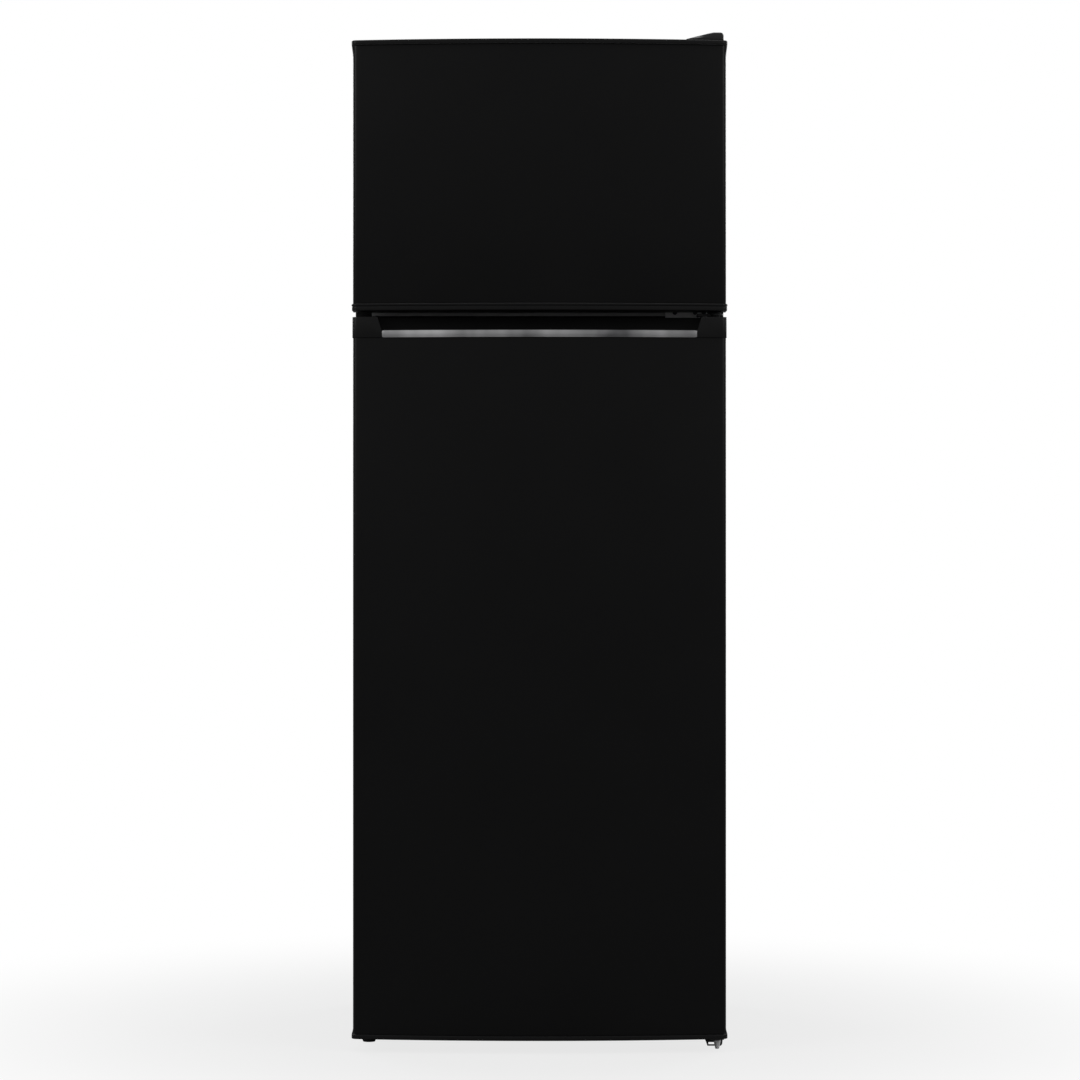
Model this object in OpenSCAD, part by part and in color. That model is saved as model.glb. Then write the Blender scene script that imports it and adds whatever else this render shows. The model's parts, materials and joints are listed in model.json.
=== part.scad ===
// Top freezer refrigerator with bowed doors hinged on the right.
// +Z is up, -Y is the front, +X is to the right seen from the front.
// The origin is on the floor below the centre of the whole outline.

/* [Overall] */
// Height of the door stack, from the lower edge of the fridge door to the top of the freezer door
door_stack = 1462; // [1440:1:1480]
// Height of the lower door edge above the floor
door_z0 = 19.5; // [18.5:0.5:21]
// Width of the door skins
door_w = 546.8; // [545:0.1:547]
// Half of the whole depth, from the door trims to the rear spacers
half_depth = 287.5; // [285:0.5:292]

/* [Doors] */
// Height of the fridge door
fridge_door_h = 1057; // [1050:1:1062]
// Gap between the two doors
door_gap = 9.2; // [8.8:0.1:10]
// Depth of the bow of the door fronts
bow = 19; // [16:0.5:20]
// Radius of the upright front edges of the doors
door_edge_r = 7; // [4:0.5:10]
// How far the plastic trims stand out from the skins
trim_out = 2.1; // [1.2:0.1:2.2]
// Height of the top trim of the freezer door
top_trim_h = 7.3; // [6:0.1:9]
// Height of the bottom trim of the freezer door
mid_trim_h = 10.2; // [9:0.1:12]
// Height of the handle end caps
cap_h = 30.2; // [28:0.1:34]
// Length of the metal handle strip
strip_l = 461; // [440:1:464]
// Height of the metal handle strip
strip_h = 10.2; // [9:0.1:11]
// Depth of the door bins behind the doors
bin_depth = 88; // [70:1:90]

/* [Cabinet] */
// Width of the cabinet
cab_w = 544; // [542:1:544]
// Insulated wall at the sides
wall = 45; // [44:0.5:48]
// Front face of the cabinet
cab_front = -216; // [-217:0.5:-215]
// Back face of the cabinet
cab_back = 250; // [249:0.5:251]

/* [Hinges] */
// Distance of the hinge axis from the centre plane
hinge_x = 261; // [258:0.5:262]
// Depth position of the hinge axis
hinge_y = -246; // [-248:0.5:-244]
// Radius of the hinge pins
pin_r = 4; // [3:0.1:4]
// Running clearance of pins, axles and shafts
run_gap = 0.06; // [0.02:0.01:0.09]

/* [Hidden] */
$fn = 96;
e = 1;
skin_t = 0.6;
half_w = door_w / 2;
trim_front = -half_depth;
skin_front = trim_front + 1.5;
bow_r = (half_w * half_w + bow * bow) / (2 * bow);
bow_y = skin_front + bow_r;
door_back = -228;
seal_gap = 0.3;

fd_z0 = door_z0;
fd_z1 = fd_z0 + fridge_door_h;
zd_z0 = fd_z1 + door_gap;
zd_z1 = door_z0 + door_stack;
gap_z = fd_z1 + door_gap / 2;
cap_z0 = fd_z1 - cap_h;
zd_skin = [zd_z0 + mid_trim_h, zd_z1 - top_trim_h];
fd_skin = [fd_z0 + 7, cap_z0];
door_sheet_t = 2;
core_seam = 0.1;

cab_hw = cab_w / 2;
cab_z0 = 24;
cab_z1 = 1483;
cav_hw = cab_hw - wall;
liner_t = 1.5;
cav_back = 205;
fr_floor = 74;
fr_ceil = 1056;
zr_floor = 1106;
zr_ceil = 1433;
step_y = 68;
step_z = 274;
niche_y = 100;
niche_z = 236;

gasket_x = 246;
gasket_w = 14;
zd_gasket = [gap_z + 9, zr_ceil + 19];
fd_gasket = [fr_floor - 22, gap_z - 9];

freezer_rim = [zr_floor + 10, zr_ceil - 10];
fridge_rim = [fr_floor + 12, fr_ceil - 12];
rim_x = 221;
rim_w = 18;
rim_y = -205;
bin_hw = rim_x - rim_w - 1;
bin_y1 = door_back + bin_depth;
freezer_bin_z = [[1140, 1210], [1290, 1350]];
fridge_bin_z = [[112, 212], [500, 570], [800, 862]];
shelf_y0 = -128;
shelf_y1 = 200;
shelf_hw = 224.5;
glass_t = 4;
shelf_z = [466, 662, 858];
freezer_shelf_z = 1262;
drawer_y0 = -126;

pocket_back = -252;
pocket_z = 1030;
strip_z1 = cap_z0 + strip_h;
strip_t = 2.4;
lip_t = 5.4;
strip_out = 1.2;

foot_x = -255;
foot_y = -160;
hinge_foot_x = 262;
hinge_foot_y = -231;
roller_x = 235;
roller_y = 222;
roller_r = 11;
bracket_t = 3;
hinge_plate_z = 15.6;
screw_rise = 4.8;
top_bracket_x = [234, 267];
top_screws = [[244, -200], [258, -200], [244, -172], [258, -172]];
middle_screw_x = [200, 230, 243];
lower_screws = [[212, -190], [250, -190], [212, -164], [250, -164]];
bush_r = 6.4;
bush_hole_r = 6.5;
comp_foot = [78, 34];
knob_z = 1041;
knob_x = 0;
housing_y0 = -70;
comp_x = -70;
comp_y = 182;
coil_y = 264;

black = [0.035, 0.035, 0.037];
dark = [0.07, 0.07, 0.075];
steel = [0.68, 0.69, 0.7];
white = [0.9, 0.91, 0.92];
foam_c = [0.93, 0.88, 0.68];
grey = [0.45, 0.46, 0.48];
clear = [0.78, 0.88, 0.92];
copper = [0.72, 0.43, 0.26];
rubber = [0.12, 0.12, 0.12];

// ---------- shared shapes ----------

// A box between two corners
module block(a, b) {
    translate(a)
        cube([b[0] - a[0], b[1] - a[1], b[2] - a[2]]);
}

// An upright cylinder with its foot at p
module post(p, r, h) {
    translate(p)
        cylinder(r = r, h = h);
}

// A rectangle with round corners, in the plane
module round_rect(x0, y0, x1, y1, r) {
    translate([x0 + r, y0])
        square([x1 - x0 - 2 * r, y1 - y0]);
    translate([x0, y0 + r])
        square([x1 - x0, y1 - y0 - 2 * r]);
    for (x = [x0 + r, x1 - r], y = [y0 + r, y1 - r])
        translate([x, y])
            circle(r = r);
}

// The area outside the round front edge of a door, on its right side
module edge_cut(hw, r, big_r) {
    cx = hw - r;
    cy = bow_y - sqrt(pow(big_r - r, 2) - cx * cx);
    reach = 4 * r + e;
    far_x = cx + reach * cx / (big_r - r);
    far_y = cy - reach * (bow_y - cy) / (big_r - r);
    difference() {
        polygon([[cx, cy], [cx + reach, cy], [cx + reach, far_y], [far_x, far_y]]);
        translate([cx, cy])
            circle(r = r);
    }
}

// Plan of a bowed door: out is how far it stands out from the skin, all round except the back
module door_plan(out, back) {
    hw = half_w + out;
    r = max(door_edge_r + out, 2);
    big_r = bow_r + out;
    difference() {
        intersection() {
            translate([0, bow_y])
                circle(r = big_r, $fn = 256);
            translate([-hw, bow_y - big_r - e])
                square([2 * hw, back - bow_y + big_r + e]);
        }
        edge_cut(hw, r, big_r);
        mirror([1, 0])
            edge_cut(hw, r, big_r);
    }
}

// A slab of the door's plan between two heights
module door_slab(out, back, z0, z1) {
    translate([0, 0, z0])
        linear_extrude(z1 - z0)
            door_plan(out, back);
}

// A flat upright ring in the plane of the door's back, between two depths
module upright_ring(hx, z0, z1, w, y0, y1) {
    difference() {
        block([-hx, y0, z0], [hx, y1, z1]);
        block([-hx + w, y0 - e, z0 + w], [hx - w, y1 + e, z1 - w]);
    }
}

// Outline of the fridge cavity seen from the side, grown by t, with the compressor step
module step_profile(t, front) {
    polygon([
        [front, fr_floor - t], [step_y + t, fr_floor - t], [step_y + t, step_z - t],
        [cav_back + t, step_z - t], [cav_back + t, fr_ceil + t], [front, fr_ceil + t]
    ]);
}

// The fridge cavity as a solid, grown by t
module fridge_hollow(t, front) {
    hw = cav_hw + t;
    translate([-hw, 0, 0])
        rotate([90, 0, 90])
            linear_extrude(2 * hw)
                step_profile(t, front);
}

// The freezer cavity as a solid, grown by t
module freezer_hollow(t, front) {
    block([-cav_hw - t, front, zr_floor - t], [cav_hw + t, cav_back + t, zr_ceil + t]);
}

// ---------- cabinet ----------

// Steel side panel; side is -1 for the left one and 1 for the right one
module side_panel(side) {
    x0 = side < 0 ? -cab_hw : cab_hw - 1;
    color(black)
        block([x0, cab_front, cab_z0], [x0 + 1, cab_back, cab_z1]);
}

module left_side_panel() {
    side_panel(-1);
}

module right_side_panel() {
    side_panel(1);
}

module top_panel() {
    color(black)
        block([1 - cab_hw, cab_front, cab_z1 - 3], [cab_hw - 1, cab_back, cab_z1]);
}

module rear_panel() {
    color(grey)
        block([1 - cab_hw, cab_back - 1, niche_z], [cab_hw - 1, cab_back, cab_z1 - 3]);
}

// Bottom sheet, folded up and back over the compressor niche
module bottom_panel() {
    color(grey)
        difference() {
            translate([1 - cab_hw, 0, 0])
                rotate([90, 0, 90])
                    linear_extrude(2 * cab_hw - 2)
                        polygon([
                            [cab_front, cab_z0], [niche_y, cab_z0], [niche_y, niche_z - 1],
                            [cab_back - 1, niche_z - 1], [cab_back - 1, niche_z],
                            [niche_y - 1, niche_z], [niche_y - 1, cab_z0 + 1],
                            [cab_front, cab_z0 + 1]
                        ]);
            post([foot_x, foot_y, cab_z0 - e], 4 + run_gap, 3);
        }
}

// Flanged tray across the rear that carries the compressor and the rollers
module compressor_rail() {
    color(grey)
        difference() {
            union() {
                block([1 - cab_hw, niche_y + 4, cab_z0], [cab_hw - 1, cab_back, cab_z0 + 2]);
                block([1 - cab_hw, niche_y + 4, cab_z0], [cab_hw - 1, niche_y + 6, cab_z0 + 12]);
                block([1 - cab_hw, cab_back - 2, cab_z0], [cab_hw - 1, cab_back, cab_z0 + 12]);
                for (s = [-1, 1], c = [-11.5, 9.5])
                    block([s * roller_x + c, roller_y - 9, 5],
                          [s * roller_x + c + 2, roller_y + 9, cab_z0 + 1]);
            }
            for (s = [-1, 1])
                translate([s * roller_x - 15, roller_y, roller_r])
                    rotate([0, 90, 0])
                        cylinder(r = 3, h = 30);
        }
}

module foam_body() {
    color(foam_c)
        difference() {
            block([1 - cab_hw, cab_front + 1, cab_z0 + 1], [cab_hw - 1, cab_back - 1, cab_z1 - 3]);
            freezer_hollow(liner_t, cab_front - e);
            fridge_hollow(liner_t, cab_front - e);
            block([-cab_hw, niche_y - 1, 0], [cab_hw, cab_back + e, niche_z]);
            evaporator_plates(0);
            post([foot_x, foot_y, cab_z0], 5, 24);
        }
}

// A ledge on each side wall that carries a shelf, back to y1
module ledges(z, y1) {
    for (s = [-1, 1])
        block([s > 0 ? cav_hw - 6 : -cav_hw, shelf_y0 + 4, z - 5],
              [s > 0 ? cav_hw : 6 - cav_hw, y1, z]);
}

module freezer_liner() {
    color(white) {
        difference() {
            freezer_hollow(liner_t, cab_front);
            freezer_hollow(0, cab_front - e);
        }
        ledges(freezer_shelf_z, shelf_y1);
    }
}

module fridge_liner() {
    color(white) {
        difference() {
            fridge_hollow(liner_t, cab_front);
            fridge_hollow(0, cab_front - e);
        }
        for (z = shelf_z)
            ledges(z, shelf_y1);
        ledges(step_z, step_y);
    }
}

// Steel face round both openings, which the gasket magnets hold on to
module front_frame() {
    color(dark)
        difference() {
            block([1 - cab_hw, cab_front, cab_z0 + 1], [cab_hw - 1, cab_front + 1, cab_z1 - 3]);
            freezer_hollow(liner_t, cab_front - e);
            fridge_hollow(liner_t, cab_front - e);
        }
}

// Raised strip across the front of the wall between the compartments
module mullion_rail() {
    color(dark)
        block([-248, cab_front - 1.2, gap_z], [186, cab_front, gap_z + 5.2]);
}

// ---------- hinges ----------

module top_hinge_bracket() {
    pin_top = cab_z1 + bracket_t;
    color(steel)
        difference() {
            union() {
                block([top_bracket_x[0], -212, cab_z1], [top_bracket_x[1], -160, pin_top]);
                block([top_bracket_x[1] - 18, hinge_y, cab_z1], [top_bracket_x[1], -200, pin_top]);
                post([hinge_x - 3, hinge_y, cab_z1], 9, bracket_t);
                post([hinge_x, hinge_y, cab_z1 - 24], pin_r, 24 + bracket_t);
            }
            for (p = top_screws)
                post([p[0], p[1], cab_z1 - e], 2.6, 6);
        }
}

// Ramped cover over the top hinge: a shell that is open underneath
module top_hinge_cover() {
    z0 = cab_z1;
    z1 = door_z0 + door_stack + 12.6;
    back_y = -150;
    length = 112;
    end_t = 1.5;
    color(black)
        difference() {
            translate([0, back_y, 0])
                rotate([90, 0, 0])
                    linear_extrude(length) {
                        polygon([
                            [214, z0], [270, z0], [270, z1 - 5], [265, z1], [255, z1],
                            [250, z1 - 1], [216, z0 + 1.4]
                        ]);
                        translate([265, z1 - 5])
                            circle(r = 5);
                    }
            translate([0, back_y - end_t, 0])
                rotate([90, 0, 0])
                    linear_extrude(length - 2 * end_t)
                        polygon([
                            [224, z0 - e], [268.5, z0 - e], [268.5, z1 - 3], [250, z1 - 3],
                            [224, z0 + 1.5]
                        ]);
        }
}

module middle_hinge_bracket() {
    arm_z = gap_z - bracket_t / 2;
    color(dark)
        difference() {
            union() {
                block([186, cab_front - bracket_t, gap_z - 8], [248, cab_front, gap_z + 8]);
                block([232, hinge_y, arm_z], [248, cab_front, arm_z + bracket_t]);
                block([232, hinge_y, arm_z], [hinge_x, hinge_y + 12, arm_z + bracket_t]);
                post([hinge_x, hinge_y, arm_z], 9, bracket_t);
                post([hinge_x, hinge_y, gap_z - 22], pin_r, 44);
            }
            for (x = middle_screw_x)
                translate([x, cab_front + e, gap_z + screw_rise])
                    rotate([90, 0, 0])
                        cylinder(r = 2.1, h = bracket_t + 2 * e);
        }
}

// Stepped plate below the right front corner, with the pin of the fridge door and a windowed apron
module lower_hinge_bracket() {
    apron_y = -223;
    plate_z1 = hinge_plate_z + bracket_t;
    color(dark)
        difference() {
            union() {
                block([243, hinge_y - 4, hinge_plate_z], [271, -204, plate_z1]);
                post([hinge_x - 4, hinge_y - 3, hinge_plate_z], 10, bracket_t);
                block([244, -207, hinge_plate_z], [271, -204, cab_z0]);
                block([200, -207, cab_z0 - bracket_t], [271, -150, cab_z0]);
                post([hinge_x, hinge_y, hinge_plate_z], pin_r, 26);
                translate([0, apron_y + bracket_t, 0])
                    rotate([90, 0, 0])
                        linear_extrude(bracket_t)
                            polygon([
                                [243, hinge_plate_z + e], [248, 2.8], [268, 2.8], [270, 5.5],
                                [271, hinge_plate_z + e]
                            ]);
            }
            post([hinge_foot_x, hinge_foot_y, 0], 5 + run_gap, 20);
            block([249.5, apron_y - e, 4.8], [258.5, apron_y + bracket_t + e, 8.2]);
            for (p = lower_screws)
                post([p[0], p[1], cab_z0 - 5], 2.6, 8);
        }
}

// A screw whose head rests on the origin and whose shank runs down
module screw(head_r, shank_r, shank_l) {
    cylinder(r = head_r, h = 1.8);
    translate([0, 0, -shank_l])
        cylinder(r = shank_r, h = shank_l);
}

module hinge_screws() {
    color(dark) {
        for (p = top_screws)
            translate([p[0], p[1], cab_z1 + bracket_t])
                screw(4.4, 2.4, 16);
        for (x = middle_screw_x)
            translate([x, cab_front - bracket_t, gap_z + screw_rise])
                rotate([90, 0, 0])
                    screw(3.1, 2, 16);
        for (p = lower_screws)
            translate([p[0], p[1], cab_z0 - bracket_t])
                rotate([180, 0, 0])
                    screw(4.4, 2.4, 16);
    }
}

// ---------- inside ----------

// A sheet of glass with its underside at z
module glass_sheet(z, y1) {
    color(clear)
        block([-shelf_hw, shelf_y0 + 3, z], [shelf_hw, y1, z + glass_t]);
}

module freezer_shelf() {
    glass_sheet(freezer_shelf_z, shelf_y1 - 14);
}

module shelf_lower() {
    glass_sheet(shelf_z[0], shelf_y1 - 14);
}

module shelf_middle() {
    glass_sheet(shelf_z[1], shelf_y1 - 14);
}

module shelf_upper() {
    glass_sheet(shelf_z[2], shelf_y1 - 14);
}

module crisper_cover() {
    glass_sheet(step_z, shelf_y1 - 14);
}

// Front nosing and rear stop of every glass sheet
module shelf_trims() {
    color(white)
        for (z = concat([freezer_shelf_z, step_z], shelf_z)) {
            difference() {
                block([-shelf_hw, shelf_y0 - 4, z - 4], [shelf_hw, shelf_y0 + 10, z + glass_t + 3]);
                block([-shelf_hw - e, shelf_y0 + 3, z - 4 - e], [shelf_hw + e, shelf_y0 + 11, z + glass_t]);
            }
            block([-shelf_hw, shelf_y1 - 14, z], [shelf_hw, shelf_y1 - 8, z + glass_t + 8]);
        }
}

// Housing of the thermostat and the lamp, under the ceiling of the fridge compartment
module control_housing() {
    color(white)
        difference() {
            block([-100, housing_y0, 1024], [100, 60, fr_ceil]);
            block([-97, housing_y0 + 3, 1027], [97, 57, fr_ceil + e]);
            block([-85, -10, 1020], [85, 45, 1030]);
            translate([knob_x, housing_y0 - e, knob_z])
                rotate([-90, 0, 0])
                    cylinder(r = 3 + run_gap, h = 6);
        }
}

module lamp_cover() {
    color(clear)
        difference() {
            block([-84.8, -9.8, 1020], [84.8, 44.8, 1027]);
            block([-82.5, -7.5, 1022], [82.5, 42.5, 1028]);
        }
}

module led_lamp() {
    color(white) {
        block([-70, 5, 1034], [70, 30, 1036]);
        for (i = [-2 : 2])
            block([i * 26 - 3, 14, 1031.5], [i * 26 + 3, 20, 1034]);
    }
}

// Turns in its bore; the pointer rib is at the top when the thermostat is off
module thermostat_knob() {
    color(grey)
        translate([knob_x, housing_y0, knob_z])
            rotate([90, 0, 0]) {
                translate([0, 0, 0.4])
                    cylinder(r = 13, h = 4);
                translate([0, 0, 4.4])
                    cylinder(r = 10.5, h = 8);
                translate([-1.2, 2, 12.4])
                    cube([2.4, 8, 1]);
                translate([0, 0, -8])
                    cylinder(r = 3, h = 8.4);
            }
}

// Cooling plates let into the foam behind the liners
module evaporator_plates(d) {
    block([-180 + d, cav_back + liner_t, zr_floor + 20], [180 - d, cav_back + liner_t + 2, zr_ceil - 20]);
    block([-180 + d, cav_back + liner_t, 560], [180 - d, cav_back + liner_t + 2, 960]);
}

module evaporators() {
    color(steel)
        evaporator_plates(0.1);
}

// ---------- cooling unit ----------

// Welded shell of the compressor on its foot plate
module compressor() {
    shell_r = 60;
    color(black)
        translate([comp_x, comp_y, 0]) {
            rotate_extrude()
                intersection() {
                    union() {
                        translate([0, 48])
                            square([shell_r, 92]);
                        for (z = [78, 110])
                            translate([0, z])
                                circle(r = shell_r);
                        translate([0, 92])
                            square([shell_r + 2, 3]);
                    }
                    translate([0, 42])
                        square([shell_r + 5, 122]);
                }
            difference() {
                block([-92, -46, 38], [92, 46, 42]);
                for (x = [-1, 1], y = [-1, 1])
                    post([x * comp_foot[0], y * comp_foot[1], 30], 6, 20);
            }
        }
}

// Rubber feet between the rail and the compressor's foot plate
module compressor_grommets() {
    color(rubber)
        for (x = [-1, 1], y = [-1, 1])
            translate([comp_x + x * comp_foot[0], comp_y + y * comp_foot[1], cab_z0 + 2]) {
                cylinder(r = 11, h = 12);
                cylinder(r = 5.9, h = 18);
                translate([0, 0, 16])
                    cylinder(r = 9, h = 3);
            }
}

// Box over the start relay, on the side of the compressor
module relay_cover() {
    color(dark)
        translate([comp_x + 62.2, comp_y, 0])
            difference() {
                block([0, -25, 70], [34, 25, 120]);
                block([-e, -23, 72], [32, 23, 118]);
            }
}

// Tray that catches the defrost water on top of the compressor
module drain_pan() {
    z0 = 164.2;
    color(dark)
        translate([comp_x, comp_y, 0])
            difference() {
                block([-62, -48, z0], [62, 48, z0 + 26]);
                block([-60, -46, z0 + 2], [60, 46, z0 + 27]);
            }
}

// A tube of radius r from p along one axis: turn is the rotation of the Z direction
module tube_run(p, turn, r, l) {
    translate(p)
        rotate(turn)
            cylinder(r = r, h = l);
}

// Filter drier and the rising lines beside the compressor
module refrigerant_lines() {
    color(copper) {
        tube_run([150, 215, 60], [0, 0, 0], 9, 110);
        tube_run([150, 215, 170], [0, 0, 0], 2.5, 55);
        tube_run([150, 215, 38], [0, 0, 0], 2.5, 22);
        tube_run([90, 150, 46], [0, 0, 0], 3.2, 160);
        tube_run([190, 225, 40], [0, 0, 0], 2.5, 180);
    }
}

// Serpentine tube of the condenser with its two side strips
module condenser() {
    tube_r = 2.6;
    run_hw = 190;
    pitch = 50;
    runs = 22;
    z0 = 300;
    color(black) {
        for (i = [0 : runs - 1])
            tube_run([-run_hw, coil_y, z0 + i * pitch], [0, 90, 0], tube_r, 2 * run_hw);
        for (i = [0 : runs - 2])
            translate([i % 2 == 0 ? run_hw : -run_hw, coil_y, z0 + (i + 0.5) * pitch])
                rotate([90, i % 2 == 0 ? 0 : 180, 0])
                    rotate([0, 0, -90])
                        rotate_extrude(angle = 180)
                            translate([pitch / 2, 0])
                                circle(r = tube_r);
        for (s = [-1, 1])
            block([s * 150 - 6, cab_back, z0 - 20], [s * 150 + 6, coil_y, z0 + runs * pitch - 30]);
    }
}

// Plastic blocks that keep the condenser away from the room's wall
module rear_spacers() {
    color(dark)
        for (s = [-1, 1])
            translate([s * 235 - 10, 0, 0])
                rotate([90, 0, 90])
                    linear_extrude(20)
                        polygon([
                            [cab_back, 1410], [half_depth, 1428], [half_depth, 1456], [cab_back, 1470]
                        ]);
}

module roller_axles() {
    color(steel)
        for (s = [-1, 1])
            translate([s * roller_x - 11.5, roller_y, roller_r])
                rotate([0, 90, 0])
                    cylinder(r = 3, h = 23);
}

// Rear roller; side is -1 for the left one and 1 for the right one
module roller(side) {
    color(dark)
        translate([side * roller_x - 8.5, roller_y, roller_r])
            rotate([0, 90, 0])
                difference() {
                    cylinder(r = roller_r, h = 17);
                    translate([0, 0, -e])
                        cylinder(r = 3 + run_gap, h = 20);
                }
}

module roller_left() {
    roller(-1);
}

module roller_right() {
    roller(1);
}

// Black levelling foot with its threaded stud; the grooves round it give grip
module foot_left() {
    color(black)
        translate([foot_x, foot_y, 0]) {
            difference() {
                union() {
                    cylinder(r1 = 9, r2 = 13, h = 10);
                    translate([0, 0, 10])
                        cylinder(r = 13, h = 5);
                }
                for (a = [0 : 30 : 330])
                    rotate([0, 0, a])
                        translate([14, 0, 7])
                            cylinder(r = 2.4, h = 9);
            }
            cylinder(r = 4, h = 44);
        }
}

// Tapered metal levelling foot in the lower hinge plate
module foot_right() {
    color(steel)
        translate([hinge_foot_x, hinge_foot_y, 0]) {
            cylinder(r1 = 2.8, r2 = 5.8, h = 13);
            translate([0, 0, 13])
                cylinder(r = 5.8, h = 2);
            translate([0, 0, 15])
                cylinder(r = 5, h = 4);
        }
}

// ---------- doors ----------

// Bent front sheet of a door between two heights
module door_skin(z0, z1) {
    color(black)
        difference() {
            door_slab(0, door_back - door_sheet_t, z0, z1);
            door_slab(-skin_t, door_back - 1, z0 - e, z1 + e);
        }
}

// Foam of a door between two heights, and the core of the raised rim as a second piece
module door_core(z0, z1, rim_z) {
    color(foam_c)
        difference() {
            union() {
                door_slab(-skin_t, door_back - door_sheet_t, z0, z1);
                upright_ring(rim_x - 2, rim_z[0] + 2, rim_z[1] - 2, rim_w - 4,
                             door_back - door_sheet_t + core_seam, rim_y - 2);
            }
            for (z = [z0, z1])
                post([hinge_x, hinge_y, z - 30], bush_hole_r, 60);
        }
}

// Inner liner of a door: a sheet with a raised rim
module door_liner(z0, z1, rim_z) {
    color(white)
        difference() {
            union() {
                block([-half_w + 1, door_back - door_sheet_t, z0], [half_w - 1, door_back, z1]);
                upright_ring(rim_x, rim_z[0], rim_z[1], rim_w, door_back - 1, rim_y);
            }
            upright_ring(rim_x - 2, rim_z[0] + 2, rim_z[1] - 2, rim_w - 4, door_back - 3, rim_y - 2);
        }
}

// Magnetic gasket: a ring with a groove along its face
module door_gasket(z0, z1) {
    color(dark)
        difference() {
            upright_ring(gasket_x, z0, z1, gasket_w, door_back, cab_front - seal_gap);
            upright_ring(gasket_x - 5, z0 + 5, z1 - 5, 3, cab_front - 3, cab_front + e);
            difference() {
                block([-300, door_back + 4, z0 - e], [300, door_back + 8, z1 + e]);
                block([-gasket_x + 3, door_back, z0 + 3], [gasket_x - 3, door_back + 9, z1 - 3]);
            }
        }
}

// A door bin open at the top; z holds its underside and its rim
module door_bin(z) {
    wall_t = 2;
    height = z[1] - z[0];
    color(clear)
        difference() {
            translate([0, 0, z[0]])
                linear_extrude(height)
                    round_rect(-bin_hw, door_back, bin_hw, bin_y1, 12);
            translate([0, 0, z[0] + wall_t])
                linear_extrude(height)
                    round_rect(-bin_hw + wall_t, door_back + wall_t, bin_hw - wall_t, bin_y1 - wall_t, 10);
        }
}

// Bush of a hinge pin, open towards the pin: up is 1 when the mouth is at the top
module bush(z, up) {
    l = 26;
    translate([hinge_x, hinge_y, z])
        mirror([0, 0, up > 0 ? 1 : 0])
            difference() {
                cylinder(r = bush_r, h = l);
                translate([0, 0, -e])
                    cylinder(r = pin_r + run_gap, h = l - 1);
            }
}

module freezer_door_skin() {
    door_skin(zd_skin[0], zd_skin[1]);
}

module freezer_door_foam() {
    door_core(zd_skin[0], zd_skin[1], freezer_rim);
}

module freezer_door_liner() {
    door_liner(zd_skin[0], zd_skin[1], freezer_rim);
}

module freezer_door_gasket() {
    door_gasket(zd_gasket[0], zd_gasket[1]);
}

// Cap on the upper end of the freezer door, with a skirt that tapers down each side
module freezer_top_trim() {
    z0 = zd_skin[1];
    color(black)
        difference() {
            union() {
                door_slab(trim_out - 0.3, door_back, z0, zd_z1 - 1.2);
                door_slab(trim_out, door_back, z0 + 0.8, zd_z1 - 0.8);
                door_slab(trim_out - 0.8, door_back, zd_z1 - 1.2, zd_z1);
                for (s = [0, 1])
                    mirror([s, 0, 0])
                        translate([0, door_back, 0])
                            rotate([90, 0, 0])
                                linear_extrude(34)
                                    polygon([
                                        [half_w - 2, z0 + 1], [half_w + trim_out, z0 + 1],
                                        [half_w + 0.3, z0 - 17], [half_w, z0 - 17], [half_w, z0]
                                    ]);
            }
            post([hinge_x, hinge_y, z0 - e], bush_hole_r, 10);
        }
}

// Cap on the lower end of the freezer door, with a raised line along its upper edge
module freezer_bottom_trim() {
    color(black)
        difference() {
            union() {
                door_slab(trim_out - 0.5, door_back, zd_z0, zd_skin[0]);
                door_slab(trim_out, door_back, zd_skin[0] - 3.4, zd_skin[0] - 0.8);
            }
            post([hinge_x, hinge_y, zd_z0 - e], bush_hole_r, 13);
        }
}

module freezer_bin_lower() {
    door_bin(freezer_bin_z[0]);
}

module freezer_bin_upper() {
    door_bin(freezer_bin_z[1]);
}

module freezer_hinge_bushes() {
    color(white) {
        bush(zd_z0, 0);
        bush(zd_z1, 1);
    }
}

module fridge_door_skin() {
    door_skin(fd_skin[0], fd_skin[1]);
}

module fridge_door_foam() {
    color(foam_c)
        difference() {
            door_core(fd_skin[0], fd_skin[1], fridge_rim);
            pocket_tub(0.1);
            post([hinge_x, hinge_y, fd_z1 - 30], bush_hole_r, 40);
        }
}

module fridge_door_liner() {
    door_liner(fd_skin[0], fd_z1 - 3, fridge_rim);
}

module fridge_door_gasket() {
    door_gasket(fd_gasket[0], fd_gasket[1]);
}

// ---------- handle ----------

// Plan of the finger pocket behind the strip, grown by t
module pocket_plan(t) {
    hw = strip_l / 2 - 4 + t;
    intersection() {
        door_plan(strip_out - lip_t + t, pocket_back + t);
        translate([-hw, -400])
            square([2 * hw, 400]);
    }
}

// Outside of the tub that lies inside the door, grown by d
module pocket_tub(d) {
    translate([0, 0, pocket_z - 2 - d])
        linear_extrude(cap_z0 - pocket_z + 2 + d)
            pocket_plan(2 + d);
}

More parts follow.
